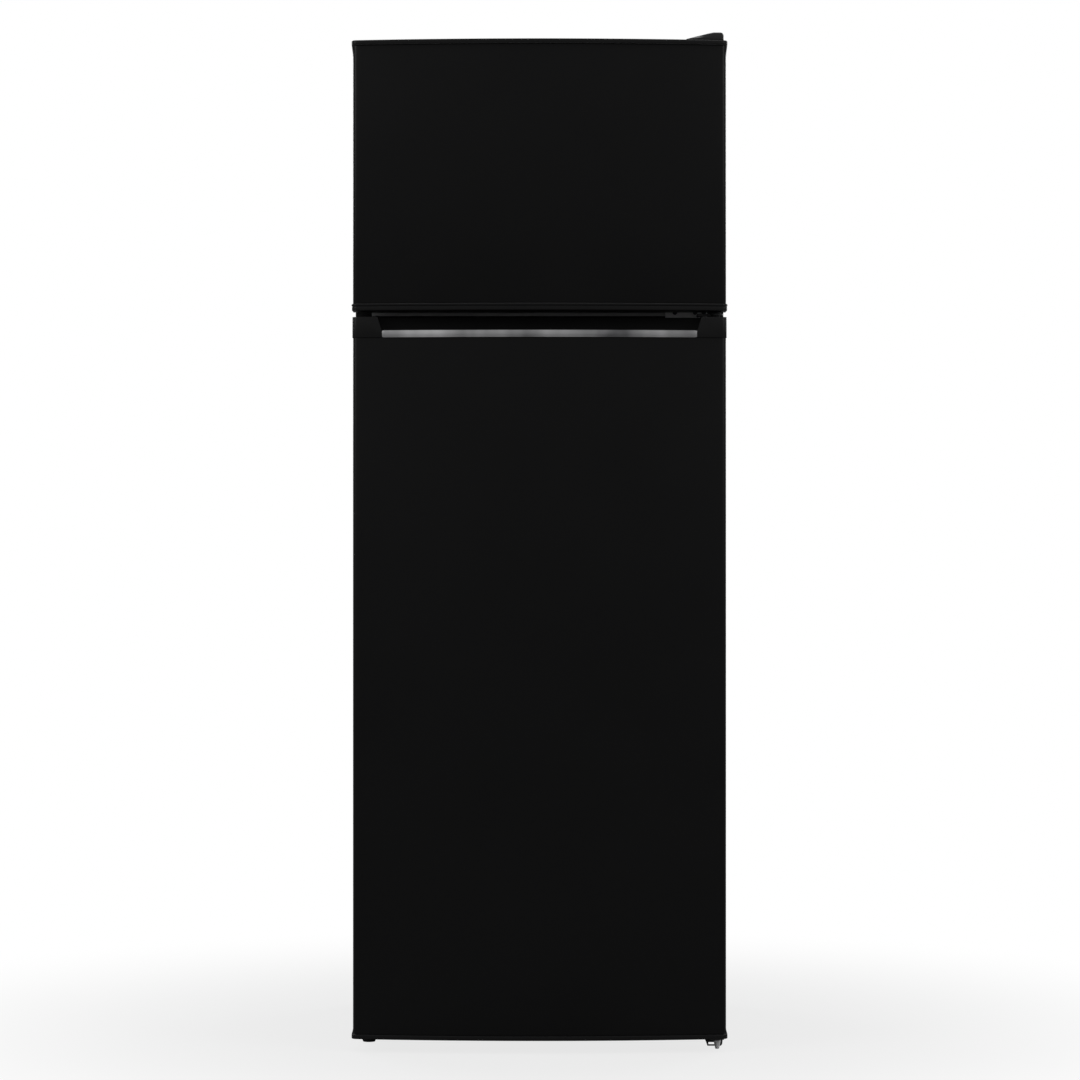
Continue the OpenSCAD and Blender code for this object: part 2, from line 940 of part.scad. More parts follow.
// End caps, back wall of the trough and the tub of the finger pocket, in one moulding
module handle_trim() {
    cap_in = strip_l / 2;
    color(black)
        difference() {
            union() {
                door_slab(0.9, door_back - door_sheet_t, cap_z0, fd_z1);
                pocket_tub(0);
            }
            translate([0, 0, pocket_z])
                linear_extrude(60)
                    pocket_plan(0);
            translate([0, pocket_back, 0])
                rotate([90, 0, 0])
                    linear_extrude(60)
                        polygon([
                            [-cap_in, strip_z1], [cap_in, strip_z1], [cap_in + 1, strip_z1 + 1],
                            [cap_in + 7, fd_z1 + e], [-cap_in - 7, fd_z1 + e],
                            [-cap_in - 1, strip_z1 + 1]
                        ]);
            translate([0, 0, cap_z0 - e])
                linear_extrude(strip_h + 2 * e)
                    intersection() {
                        difference() {
                            door_plan(4, -200);
                            door_plan(strip_out - strip_t, -200);
                        }
                        translate([-cap_in, -400])
                            square([2 * cap_in, 200]);
                    }
            post([hinge_x, hinge_y, fd_z1 - 30], bush_hole_r, 40);
        }
}

// Bright metal strip along the front of the pocket
module handle_strip() {
    hw = strip_l / 2 - 0.2;
    color(steel)
        translate([0, 0, cap_z0])
            linear_extrude(strip_h)
                intersection() {
                    difference() {
                        door_plan(strip_out, -200);
                        door_plan(strip_out - strip_t, -100);
                    }
                    translate([-hw, -400])
                        square([2 * hw, 200]);
                }
}

module fridge_bottom_trim() {
    color(black)
        difference() {
            union() {
                door_slab(trim_out, door_back, fd_z0 + 0.8, fd_skin[0] - 0.7);
                door_slab(trim_out - 0.7, door_back, fd_z0, fd_skin[0]);
            }
            post([hinge_x, hinge_y, fd_z0 - e], bush_hole_r, 10);
        }
}

module bottle_bin() {
    door_bin(fridge_bin_z[0]);
}

module fridge_bin_middle() {
    door_bin(fridge_bin_z[1]);
}

module fridge_bin_upper() {
    door_bin(fridge_bin_z[2]);
}

module fridge_hinge_bushes() {
    color(white) {
        bush(fd_z0, 0);
        bush(fd_z1, 1);
    }
}

// Drawer with a grip under its front rim, open at the top
module crisper_drawer() {
    x1 = cav_hw - 5;
    y1 = step_y - 6;
    z0 = fr_floor + 0.5;
    z1 = step_z - 8;
    t = 2.5;
    color(clear)
        difference() {
            union() {
                translate([0, 0, z0])
                    linear_extrude(z1 - z0)
                        round_rect(-x1, drawer_y0, x1, y1, 10);
                block([-x1 + 10, drawer_y0 - 4, z1 - 14], [x1 - 10, drawer_y0 + e, z1]);
            }
            translate([0, 0, z0 + t])
                linear_extrude(z1 - z0)
                    round_rect(-x1 + t, drawer_y0 + t, x1 - t, y1 - t, 8);
        }
}

left_side_panel();
right_side_panel();
top_panel();
rear_panel();
bottom_panel();
compressor_rail();
foam_body();
freezer_liner();
fridge_liner();
front_frame();
mullion_rail();
top_hinge_bracket();
top_hinge_cover();
middle_hinge_bracket();
lower_hinge_bracket();
hinge_screws();
freezer_shelf();
shelf_lower();
shelf_middle();
shelf_upper();
crisper_cover();
shelf_trims();
control_housing();
lamp_cover();
led_lamp();
evaporators();
compressor();
compressor_grommets();
relay_cover();
drain_pan();
refrigerant_lines();
condenser();
rear_spacers();
roller_axles();
freezer_door_skin();
freezer_door_foam();
freezer_door_liner();
freezer_door_gasket();
freezer_top_trim();
freezer_bottom_trim();
freezer_bin_lower();
freezer_bin_upper();
freezer_hinge_bushes();
fridge_door_skin();
fridge_door_foam();
fridge_door_liner();
fridge_door_gasket();
handle_trim();
handle_strip();
fridge_bottom_trim();
bottle_bin();
fridge_bin_middle();
fridge_bin_upper();
fridge_hinge_bushes();
crisper_drawer();
thermostat_knob();
foot_left();
foot_right();
roller_left();
roller_right();
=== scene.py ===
import json
import math

import bmesh
import bpy
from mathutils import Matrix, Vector


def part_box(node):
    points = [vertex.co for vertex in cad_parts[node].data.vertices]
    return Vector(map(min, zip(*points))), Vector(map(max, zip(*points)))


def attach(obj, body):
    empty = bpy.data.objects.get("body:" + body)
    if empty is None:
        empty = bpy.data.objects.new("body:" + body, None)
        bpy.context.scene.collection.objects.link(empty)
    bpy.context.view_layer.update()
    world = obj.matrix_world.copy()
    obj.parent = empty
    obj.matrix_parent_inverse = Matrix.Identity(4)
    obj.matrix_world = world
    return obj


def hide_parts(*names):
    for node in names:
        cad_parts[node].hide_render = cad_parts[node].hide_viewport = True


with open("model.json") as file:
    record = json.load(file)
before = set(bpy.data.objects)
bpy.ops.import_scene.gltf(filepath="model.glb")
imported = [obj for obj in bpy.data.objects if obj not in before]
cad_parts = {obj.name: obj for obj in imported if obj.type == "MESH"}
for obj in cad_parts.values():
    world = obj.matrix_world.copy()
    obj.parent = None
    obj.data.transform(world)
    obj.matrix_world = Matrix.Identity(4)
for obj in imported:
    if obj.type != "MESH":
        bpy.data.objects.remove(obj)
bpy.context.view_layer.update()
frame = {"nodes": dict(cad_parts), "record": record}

RECORD = frame["record"]
BODY_OF = {n: b for b, ns in RECORD["behaviour"]["bodies"].items() for n in ns}
SLOT_OF = {s["node"]: s["material_slot"] for s in RECORD["subparts"]}
SLOTS = {m["slot"] for m in RECORD["materials"]}

# ---------- driving dimensions, in metres ----------

FRIDGE_LO, FRIDGE_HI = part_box("fridge_door_skin")
FREEZER_LO, FREEZER_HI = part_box("freezer_door_skin")
HALF_W = FRIDGE_HI.x
BOW = 0.019  # how far a door stands out in its middle
BOW_R = (HALF_W ** 2 + BOW ** 2) / (2 * BOW)
BOW_Y = FRIDGE_LO.y + BOW_R
EDGE_R = 0.007  # rounding of a door's upright edges
DOOR_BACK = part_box("freezer_top_trim")[1].y
CAB_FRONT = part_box("left_side_panel")[0].y
CAB_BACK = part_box("left_side_panel")[1].y


# ---------- material helpers ----------

class Shader:
    """A Principled material with short ways to add procedural detail."""

    def __init__(self, name, color, rough, metallic=0.0, specular=0.5):
        self.mat = bpy.data.materials.new(name)
        self.mat.use_nodes = True
        self.nodes = self.mat.node_tree.nodes
        self.links = self.mat.node_tree.links
        self.bsdf = self.nodes["Principled BSDF"]
        self.color = color
        self.rough = rough
        self.set("Base Color", (*color, 1))
        self.set("Roughness", rough)
        self.set("Metallic", metallic)
        self.set("Specular IOR Level", specular)
        coords = self.nodes.new("ShaderNodeTexCoord")
        self.coord = coords.outputs["Object"]
        self.normal = None

    def set(self, socket, value):
        """Puts a constant straight on a socket of the Principled shader."""
        self.bsdf.inputs[socket].default_value = value
        return self

    def noise(self, scale, detail=3.0, stretch=(1, 1, 1)):
        """Noise in object space; scale is in cells per metre."""
        mapping = self.nodes.new("ShaderNodeMapping")
        mapping.inputs["Scale"].default_value = stretch
        tex = self.nodes.new("ShaderNodeTexNoise")
        tex.inputs["Scale"].default_value = scale
        tex.inputs["Detail"].default_value = detail
        self.links.new(self.coord, mapping.inputs["Vector"])
        self.links.new(mapping.outputs["Vector"], tex.inputs["Vector"])
        return tex.outputs["Fac"]

    def cells(self, scale):
        """A cell pattern in object space, for crystals and foam."""
        tex = self.nodes.new("ShaderNodeTexVoronoi")
        tex.inputs["Scale"].default_value = scale
        self.links.new(self.coord, tex.inputs["Vector"])
        return tex

    def spread(self, source, low, high):
        """Maps a noise, which mostly lies between 0.3 and 0.7, onto a range."""
        ranger = self.nodes.new("ShaderNodeMapRange")
        ranger.inputs["From Min"].default_value = 0.3
        ranger.inputs["From Max"].default_value = 0.7
        ranger.inputs["To Min"].default_value = low
        ranger.inputs["To Max"].default_value = high
        self.links.new(source, ranger.inputs["Value"])
        return ranger.outputs["Result"]

    def vary_rough(self, source, amount):
        """Lets the roughness wander by amount either way."""
        result = self.spread(source, self.rough - amount, self.rough + amount)
        self.links.new(result, self.bsdf.inputs["Roughness"])
        return self

    def vary_color(self, source, other):
        """Lets the colour wander between its own and another."""
        mix = self.nodes.new("ShaderNodeMix")
        mix.data_type = "RGBA"
        mix.inputs["A"].default_value = (*self.color, 1)
        mix.inputs["B"].default_value = (*other, 1)
        self.links.new(self.spread(source, 0.0, 1.0), mix.inputs["Factor"])
        self.links.new(mix.outputs["Result"], self.bsdf.inputs["Base Color"])
        return self

    def bump(self, source, strength, distance):
        """Adds a relief on top of any that is there already; distance is in metres."""
        node = self.nodes.new("ShaderNodeBump")
        node.inputs["Strength"].default_value = strength
        node.inputs["Distance"].default_value = distance
        self.links.new(source, node.inputs["Height"])
        if self.normal is not None:
            self.links.new(self.normal, node.inputs["Normal"])
        self.normal = node.outputs["Normal"]
        self.links.new(self.normal, self.bsdf.inputs["Normal"])
        return self


def paint(name, color, rough, specular, orange_peel, scale=700.0):
    """Sprayed or coil-coated steel with a fine orange peel."""
    s = Shader(name, color, rough, specular=specular)
    s.vary_rough(s.noise(9.0, 4.0), 0.025)
    s.vary_color(s.noise(5.0, 2.0), [c * 0.82 for c in color])
    s.bump(s.noise(scale, 2.0), orange_peel, 0.0002)
    return s.mat


def moulded(name, color, rough, specular=0.5, grain=0.12, scale=2200.0):
    """Injection-moulded plastic with a fine spark-eroded grain."""
    s = Shader(name, color, rough, specular=specular)
    s.vary_rough(s.noise(14.0, 4.0), 0.04)
    s.vary_color(s.noise(25.0, 3.0), [c * 0.93 for c in color])
    s.bump(s.noise(scale, 1.0), grain, 0.00015)
    return s.mat


def metal(name, color, rough, stretch, streak=0.1):
    """Bare metal with fine drawn or brushed streaks; stretch squeezes them along one axis."""
    s = Shader(name, color, rough, metallic=1.0)
    s.vary_rough(s.noise(60.0, 5.0, stretch), 0.05)
    s.vary_color(s.noise(30.0, 4.0, stretch), [c * 0.86 for c in color])
    s.bump(s.noise(900.0, 3.0, stretch), streak, 0.0001)
    return s.mat


def see_through(name, color, rough, alpha):
    """Clear glass or plastic: a thin gloss over whatever lies behind it."""
    s = Shader(name, color, rough)
    s.set("Alpha", alpha)
    s.vary_rough(s.noise(40.0, 3.0), rough * 0.4)
    s.vary_color(s.noise(6.0, 2.0), [c * 0.95 for c in color])
    return s.mat


def spangle(name):
    """Hot-dip galvanised sheet with its crystal pattern."""
    s = Shader(name, (0.4, 0.41, 0.42), 0.46, metallic=0.85)
    cells = s.cells(170.0)
    bright = s.nodes.new("ShaderNodeRGBToBW")
    s.links.new(cells.outputs["Color"], bright.inputs["Color"])
    s.vary_color(bright.outputs["Val"], (0.46, 0.47, 0.48))
    s.vary_rough(bright.outputs["Val"], 0.05)
    s.bump(s.noise(500.0, 2.0), 0.05, 0.0001)
    return s.mat


def blown_foam(name):
    """Yellowish rigid foam with open cells where it was cut."""
    s = Shader(name, (0.82, 0.74, 0.5), 0.85)
    cells = s.cells(900.0)
    s.vary_color(s.noise(60.0, 4.0), (0.7, 0.6, 0.36))
    s.bump(cells.outputs["Distance"], 0.5, 0.0006)
    return s.mat


def strip_metal(name):
    """Brushed strip of the handle; its colour swings between dull and bright in broad stretches along
    its length, which is painted reflection.
    """
    s = Shader(name, (0.16, 0.16, 0.165), 0.34, metallic=1.0)
    s.vary_rough(s.noise(60.0, 5.0, (0.12, 1, 22)), 0.06)
    # Painted reflection: broad bright patches in the base colour stand in for lamps mirrored in the
    # strip.
    s.vary_color(s.noise(15.0, 2.5, (1, 0, 0.6)), (0.72, 0.72, 0.73))
    s.bump(s.noise(900.0, 3.0, (0.12, 1, 22)), 0.12, 0.0001)
    return s.mat


MATS = {
    "door_steel": paint("door_paint", (0.0032, 0.0032, 0.0034), 0.38, 0.13, 0.05),
    "cabinet_black": paint("cabinet_paint", (0.005, 0.005, 0.0053), 0.46, 0.25, 0.35, 420.0),
    "dark_metal": paint("hinge_paint", (0.016, 0.016, 0.017), 0.42, 0.35, 0.1),
    "compressor_black": paint("enamel", (0.009, 0.009, 0.0095), 0.28, 0.45, 0.25, 260.0),
    "black_plastic": moulded("black_plastic", (0.0041, 0.0041, 0.0043), 0.42, 0.16),
    "white_plastic": moulded("white_plastic", (0.82, 0.83, 0.84), 0.42),
    "white_liner": moulded("white_liner", (0.86, 0.87, 0.88), 0.34, 0.5, 0.06, 900.0),
    "knob_grey": moulded("knob_plastic", (0.32, 0.33, 0.35), 0.4),
    "gasket_rubber": moulded("gasket_vinyl", (0.035, 0.035, 0.037), 0.62, 0.3, 0.2, 1500.0),
    "insulation": blown_foam("polyurethane_foam"),
    "galvanised": spangle("galvanised_sheet"),
    "zinc": metal("zinc_plate", (0.6, 0.61, 0.62), 0.34, (1, 1, 6)),
    "bright_metal": strip_metal("brushed_metal_painted_reflections"),
    "evaporator_aluminium": metal("rolled_aluminium", (0.75, 0.76, 0.77), 0.35, (0.2, 1, 4)),
    "copper_tube": metal("copper", (0.66, 0.33, 0.19), 0.3, (4, 4, 0.5)),
    "shelf_glass": see_through("shelf_glass", (0.62, 0.8, 0.76), 0.05, 0.24),
    "clear_plastic": see_through("clear_polystyrene", (0.8, 0.87, 0.92), 0.1, 0.3),
}

# Finishes of single pieces that differ from the rest of their slot
# The mullion rail's grey is partly its own paint and partly painted light, lightened to stand in for
# light reaching deep into the door gap.
MATS["strip_paint"] = paint("mullion_paint_and_painted_light", (0.3, 0.3, 0.305), 0.5, 0.3, 0.05)
# The middle hinge plate's light grey is partly its zinc and partly painted light, lightened to stand
# in for light reaching into the door gap.
MATS["hinge_plate"] = paint("hinge_plate_zinc_and_painted_light", (0.62, 0.62, 0.63), 0.5, 0.3, 0.05)
# The trough's near-black is painted shade: darker than the caps' plastic because the recess lies in
# shade.
MATS["trough"] = moulded("trough_painted_shade", (0.0012, 0.0012, 0.0013), 0.6, 0.12)
MATS["frame_black"] = paint("frame_black", (0.002, 0.002, 0.0021), 0.6, 0.15, 0.05)
MATS["glossy_black"] = moulded("glossy_black_plastic", (0.006, 0.006, 0.0062), 0.24, 0.5, 0.04)
# The right foot's light matte grey is partly its plating and partly painted reflection, standing in
# for the bright surroundings its metal would mirror.
MATS["foot_plating"] = paint("foot_plating", (0.8, 0.8, 0.81), 0.38, 0.5, 0.05)
MATS["print_grey"] = moulded("print_grey", (0.09, 0.09, 0.095), 0.5)


# ---------- mesh helpers ----------

def add_piece(name, bm, node_or_body, material, replaces=(), smooth=35.0):
    """Turns a bmesh into a named piece that rides on a body, shaded smooth below an angle."""
    mesh = bpy.data.meshes.new(name)
    bmesh.ops.recalc_face_normals(bm, faces=bm.faces)
    bm.to_mesh(mesh)
    bm.free()
    mesh.polygons.foreach_set("use_smooth", [True] * len(mesh.polygons))
    mesh.set_sharp_from_angle(angle=math.radians(smooth))
    obj = bpy.data.objects.new(name, mesh)
    bpy.context.scene.collection.objects.link(obj)
    mesh.materials.append(MATS[material])
    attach(obj, BODY_OF.get(node_or_body, node_or_body))
    if replaces:
        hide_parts(*replaces)
    material if material in SLOTS else SLOT_OF[node_or_body]
    return obj


def sharp_edges(bm, angle):
    """The edges whose two faces turn by more than an angle in radians."""
    return [e for e in bm.edges if len(e.link_faces) == 2 and e.calc_face_angle(0.0) > angle]


def bevel(bm, edges, width, segments):
    """Rounds edges with an arc of the given width and number of steps."""
    bmesh.ops.bevel(bm, geom=edges, offset=width, segments=segments, profile=0.5,
                    affect="EDGES", clamp_overlap=True)


def refine(node, width=0.0006, segments=2, limit=28.0, material=None, first=None):
    """A copy of a CAD node with its sharp edges rounded, which stands for the node.

    first is a test for the edges that get a larger rounding before the rest, its width and steps."""
    weld, flat = 1e-5, math.radians(0.6)
    bm = bmesh.new()
    bm.from_mesh(frame["nodes"][node].data)
    bmesh.ops.remove_doubles(bm, verts=bm.verts, dist=weld)
    bmesh.ops.dissolve_limit(bm, angle_limit=flat, verts=bm.verts, edges=bm.edges)
    bm.normal_update()
    if first:
        test, large, steps = first
        bevel(bm, [e for e in bm.edges if len(e.link_faces) == 2 and test(e)], large, steps)
        bm.normal_update()
    bevel(bm, sharp_edges(bm, math.radians(limit)), width, segments)
    return add_piece(node + "_finished", bm, node, material or SLOT_OF[node], (node,), 40.0)


def plan(out, back=DOOR_BACK, steps=72, corner_steps=8):
    """Points of the bowed door outline, from its right rear corner round the front to the left.

    out is how far the outline stands out beyond the skin, except at the back."""
    hw = HALF_W + out
    r = EDGE_R + out
    big = BOW_R + out
    cx = hw - r
    cy = BOW_Y - math.sqrt((big - r) ** 2 - cx ** 2)
    tangent = math.atan2(cy - BOW_Y, cx)
    pts = [(hw, back)]
    for i in range(corner_steps + 1):
        a = tangent * i / corner_steps
        pts.append((cx + r * math.cos(a), cy + r * math.sin(a)))
    for i in range(1, steps):
        a = tangent + (-math.pi - 2 * tangent) * i / steps
        pts.append((big * math.cos(a), BOW_Y + big * math.sin(a)))
    return pts + [(-x, y) for x, y in reversed(pts[:corner_steps + 2])]


def recolour(obj, material, test):
    """Gives a second material to the faces whose centre passes a test."""
    obj.data.materials.append(MATS[material])
    for face in obj.data.polygons:
        if test(face.center):
            face.material_index = 1


def bridge(bm, ring_a, ring_b, closed=True):
    """Fills the band between two rows of vertices with four-sided faces."""
    n = len(ring_a)
    for i in range(n if closed else n - 1):
        j = (i + 1) % n
        bm.faces.new((ring_a[i], ring_a[j], ring_b[j], ring_b[i]))


def loft(bm, rings):
    """Joins closed rings in their order and closes both ends."""
    for a, b in zip(rings, rings[1:]):
        bridge(bm, a, b)
    bm.faces.new(rings[0])
    bm.faces.new(rings[-1])


def bowed_solid(name, node, levels, material):
    """A slab of the door's outline: levels are (height, how far it stands out), from the bottom up."""
    bm = bmesh.new()
    loft(bm, [[bm.verts.new((x, y, z)) for x, y in plan(out)] for z, out in levels])
    add_piece(name, bm, node, material, (node,))


def bowed_sheet(name, node, thick, z0, z1, back, material):
    """The bent front sheet of a door, closed all round its thickness, with rolled edges."""
    bm = bmesh.new()
    roll = thick * 1.5
    levels = [(z0, -thick * 0.6), (z0 + roll * 0.4, -thick * 0.15), (z0 + roll, 0.0),
              (z1 - roll, 0.0), (z1 - roll * 0.4, -thick * 0.15), (z1, -thick * 0.6)]
    outer = [[bm.verts.new((x, y, z)) for x, y in plan(out, back)] for z, out in levels]
    inner = [[bm.verts.new((x, y, z)) for x, y in plan(-thick, back)] for z in (z0, z1)]
    for low, high in zip(outer, outer[1:]):
        bridge(bm, low, high, closed=False)
    bridge(bm, inner[0], inner[1], closed=False)
    bridge(bm, outer[0], inner[0], closed=False)
    bridge(bm, outer[-1], inner[1], closed=False)
    for end in (0, -1):
        bm.faces.new([ring[end] for ring in outer] + [inner[1][end], inner[0][end]])
    add_piece(name, bm, node, material, (node,))


def tube(bm, points, radius, sides=8, loop=False):
    """Sweeps a round tube along a list of points and closes its ends, or joins them in a loop."""
    points = [Vector(p) for p in points]
    rings = []
    side = None
    last = len(points) - 1
    for i, p in enumerate(points):
        after = points[(i + 1) % (last + 1)] if loop else points[min(i + 1, last)]
        before = points[i - 1] if loop else points[max(i - 1, 0)]
        ahead = (after - before).normalized()
        if side is None:
            side = ahead.orthogonal().normalized()
        side = (side - ahead * side.dot(ahead)).normalized()
        up = ahead.cross(side)
        rings.append([
            bm.verts.new(p + radius * (math.cos(a) * side + math.sin(a) * up))
            for a in (2 * math.pi * k / sides for k in range(sides))
        ])
    if loop:
        for a, b in zip(rings, rings[1:] + rings[:1]):
            bridge(bm, a, b)
    else:
        loft(bm, rings)


def bent(points, radius, steps=6):
    """A route whose corners are rounded over the given length on each side."""
    points = [Vector(p) for p in points]
    route = [points[0]]
    for before, corner, after in zip(points, points[1:], points[2:]):
        start = corner + (before - corner).normalized() * radius
        end = corner + (after - corner).normalized() * radius
        for i in range(steps + 1):
            t = i / steps
            route.append((1 - t) ** 2 * start + 2 * t * (1 - t) * corner + t * t * end)
    return route + [points[-1]]


def round_loop(lo, hi, r, z, steps=5):
    """A closed rounded rectangle at height z."""
    points = []
    for cx, cy, turn in ((hi[0] - r, hi[1] - r, 0), (lo[0] + r, hi[1] - r, 1),
                         (lo[0] + r, lo[1] + r, 2), (hi[0] - r, lo[1] + r, 3)):
        for i in range(steps + 1):
            a = math.pi / 2 * (turn + i / steps)
            points.append((cx + r * math.cos(a), cy + r * math.sin(a), z))
    return points


def box_in(bm, lo, hi):
    """Adds a box between two corners."""
    lo, hi = Vector(lo), Vector(hi)
    made = bmesh.ops.create_cube(bm, size=1.0)["verts"]
    bmesh.ops.scale(bm, vec=hi - lo, verts=made)
    bmesh.ops.translate(bm, vec=(lo + hi) / 2, verts=made)


def lathe(bm, centre, axis, profile, sides=24):
    """Spins (radius, height) points round an axis through centre and closes both ends."""
    turn = Vector((0, 0, 1)).rotation_difference(Vector(axis)).to_matrix()
    rings = []
    for radius, height in profile:
        ring = []
        for k in range(sides):
            a = 2 * math.pi * k / sides
            local = Vector((radius * math.cos(a), radius * math.sin(a), height))
            ring.append(bm.verts.new(Vector(centre) + turn @ local))
        rings.append(ring)
    loft(bm, rings)


# ---------- doors ----------

def rounded_profile(z0, z1, out, r, steps=4):
    """Levels of a slab whose upper and lower rims are rounded with radius r."""
    low = [(z0 + r * (1 - math.cos(a)), out - r * (1 - math.sin(a)))
           for a in (math.pi / 2 * i / steps for i in range(steps + 1))]
    high = [(z1 - (z - z0), o) for z, o in reversed(low)]
    return low + high


def door_skins():
    """The bent front sheets of both doors."""
    sheet = 0.0006
    for node, lo, hi in (("freezer_door_skin", FREEZER_LO, FREEZER_HI),
                         ("fridge_door_skin", FRIDGE_LO, FRIDGE_HI)):
        bowed_sheet(node.replace("_skin", "_face"), node, sheet, lo.z, hi.z, hi.y, "door_steel")


LIP_REACH = 0.0165  # how far the lip of the top cap laps over the skin
TIP_OUT = 0.00005  # how far the tip of a lip stands off the skin


def door_trims():
    """The moulded caps on the door ends, each with a raised line where it meets the skin."""
    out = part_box("freezer_top_trim")[1].x - HALF_W
    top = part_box("freezer_top_trim")[1].z
    seat = FREEZER_HI.z
    lip = [(seat - LIP_REACH, TIP_OUT), (seat - LIP_REACH * 0.6, out * 0.3), (seat, out * 0.86)]
    shoulder, rim_start, rim_r = 0.0005, 0.0008, 0.0014
    rim = rounded_profile(seat + rim_start, top, out, rim_r)[2:]
    bowed_cap("freezer_top_cap", "freezer_top_trim", seat, lip,
              [(seat + shoulder, out * 0.93)] + rim)

    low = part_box("freezer_bottom_trim")[0].z
    band, step_in, low_r, band_r = 0.0036, 0.0005, 0.0012, 0.0011
    split = FREEZER_LO.z - band
    levels = rounded_profile(low, split, out - step_in, low_r)[:-1]
    levels += rounded_profile(split, FREEZER_LO.z, out, band_r)[2:]
    bowed_solid("freezer_lower_cap", "freezer_bottom_trim", levels, "black_plastic")

    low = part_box("fridge_bottom_trim")[0].z
    seat = FRIDGE_LO.z
    gap, rim_r = 0.0002, 0.0013
    tip, middle = 0.0072, 0.0034
    rim = rounded_profile(low, seat - gap, out, rim_r)[:-2]
    lip = [(seat + tip, TIP_OUT), (seat + middle, out * 0.4), (seat, out * 0.9)]
    bowed_cap("fridge_lower_cap", "fridge_bottom_trim", seat, lip, rim[::-1])


def bowed_cap(name, node, seat, lip, rim):
    """A door end cap: lip rings lap over the skin at the sides only, and rim rings lead on outwards.

    Both lists hold (height, how far it stands out), from the tip of the lip to the free end."""
    least = 0.0003  # what is left of the lip along the front
    off_skin, under = 0.00004, 0.00002  # how far the lip and the inner face clear the skin
    flush = plan(off_skin)
    half = (len(flush) - 1) / 2
    side_points = 7
    bm = bmesh.new()
    rings = []
    for z, out in lip:
        ring = []
        for i, (near, far) in enumerate(zip(flush, plan(out))):
            from_side = half - abs(i - half)
            share = min(1.0, max(0.0, 1.0 - (from_side - 1) / side_points))
            share = share * share * (3 - 2 * share)
            spot = Vector((*near, 0)).lerp(Vector((*far, 0)), share)
            drop = (z - seat) * max(share, least / LIP_REACH)
            ring.append(bm.verts.new((spot.x, spot.y, seat + drop)))
        rings.append(ring)
    for z, out in rim:
        rings.append([bm.verts.new((x, y, z)) for x, y in plan(out)])
    inner = [bm.verts.new((x, y, seat)) for x, y in plan(under)]
    for near, far in zip(rings, rings[1:]):
        bridge(bm, near, far, closed=False)
    bridge(bm, inner, rings[0], closed=False)
    bm.faces.new(rings[-1])
    bm.faces.new(inner)
    ends = [ring[0] for ring in [inner] + rings]
    bm.faces.new(ends + [ring[-1] for ring in rings[::-1] + [inner]])
    add_piece(name, bm, node, "black_plastic", (node,))


def handle():
    """The bright strip: a crowned bar with rounded ends, bent to the bow of the door.

    The grip behind it gets its rounded edges, and its trough a near-black material that is painted
    shade for the recess."""
    lo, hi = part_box("handle_strip")
    out = FRIDGE_LO.y - lo.y
    half = (hi.x - lo.x) / 2
    height = hi.z - lo.z
    thick, crown = 0.0021, 0.0006
    rear = -thick + 0.0002
    bunching = 0.35  # share of the ribs' spacing that closes up towards the ends
    end_reach, end_least, end_height, end_back = 0.0008, 0.00002, 0.86, 0.0004
    # The cross-section: how far out each point lies, and its share of the half height
    section = [(rear, -0.92), (rear, 0.92), (-crown * 0.9, 1.0)]
    section += [(-crown * s * s, s) for s in (0.9, 0.7, 0.4, 0.0, -0.4, -0.7, -0.9)]
    section += [(-crown * 0.9, -1.0)]
    ribs = 96
    bm = bmesh.new()
    rings = []
    for i in range(ribs + 1):
        t = -1 + 2 * i / ribs
        x = half * math.sin(t * math.pi / 2) * bunching + half * t * (1 - bunching)
        from_end = half - abs(x)
        squeeze = min(1.0, math.sqrt(max(from_end, end_least) / end_reach))
        h = height / 2 * (end_height + (1 - end_height) * squeeze)
        front = out - end_back * (1 - squeeze)
        ring = []
        for depth, s in section:
            r = BOW_R + front + depth
            y = BOW_Y - math.sqrt(r * r - x * x)
            ring.append(bm.verts.new((x, y, (lo.z + hi.z) / 2 + s * h)))
        rings.append(ring)
    loft(bm, rings)
    add_piece("grip_strip", bm, "handle_strip", "bright_metal", ("handle_strip",), 60.0)
    grip = refine("handle_trim", 0.0011, 3, 24.0)
    # The faces deeper than this and between these ends are the trough, which gets the painted shade.
    trough_shade_y = FRIDGE_LO.y + BOW - 0.006
    trough_shade_side = half + 0.008
    recolour(grip, "trough", lambda c: abs(c.x) < trough_shade_side and c.y > trough_shade_y)


# ---------- carried-over nodes ----------

def paint_nodes():
    """Every CAD node gets its material, also those that another piece covers or replaces."""
    for node, obj in frame["nodes"].items():
        obj.data.materials.clear()
        obj.data.materials.append(MATS["frame_black" if node == "front_frame" else SLOT_OF[node]])


def nose_test():
    """Passes the front rim of the hinge cover, where the cover is high; not its lower edge."""
    lo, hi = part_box("top_hinge_cover")
    near, high_length = 0.0003, 0.0208

    def test(edge):
        ends = [v.co for v in edge.verts]
        in_front = all(c.y < lo.y + near and c.x > hi.x - high_length for c in ends)
        return in_front and any(c.z > lo.z + near for c in ends)

    return test


def rim_test(node):
    """Passes the edges of a door liner that lie in the free face of its raised rim."""
    rim_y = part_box(node)[1].y
    near = 0.0004
    return lambda edge: all(v.co.y > rim_y - near for v in edge.verts)


BINS = ("freezer_bin_lower", "freezer_bin_upper", "bottle_bin", "fridge_bin_middle",
        "fridge_bin_upper", "crisper_drawer")


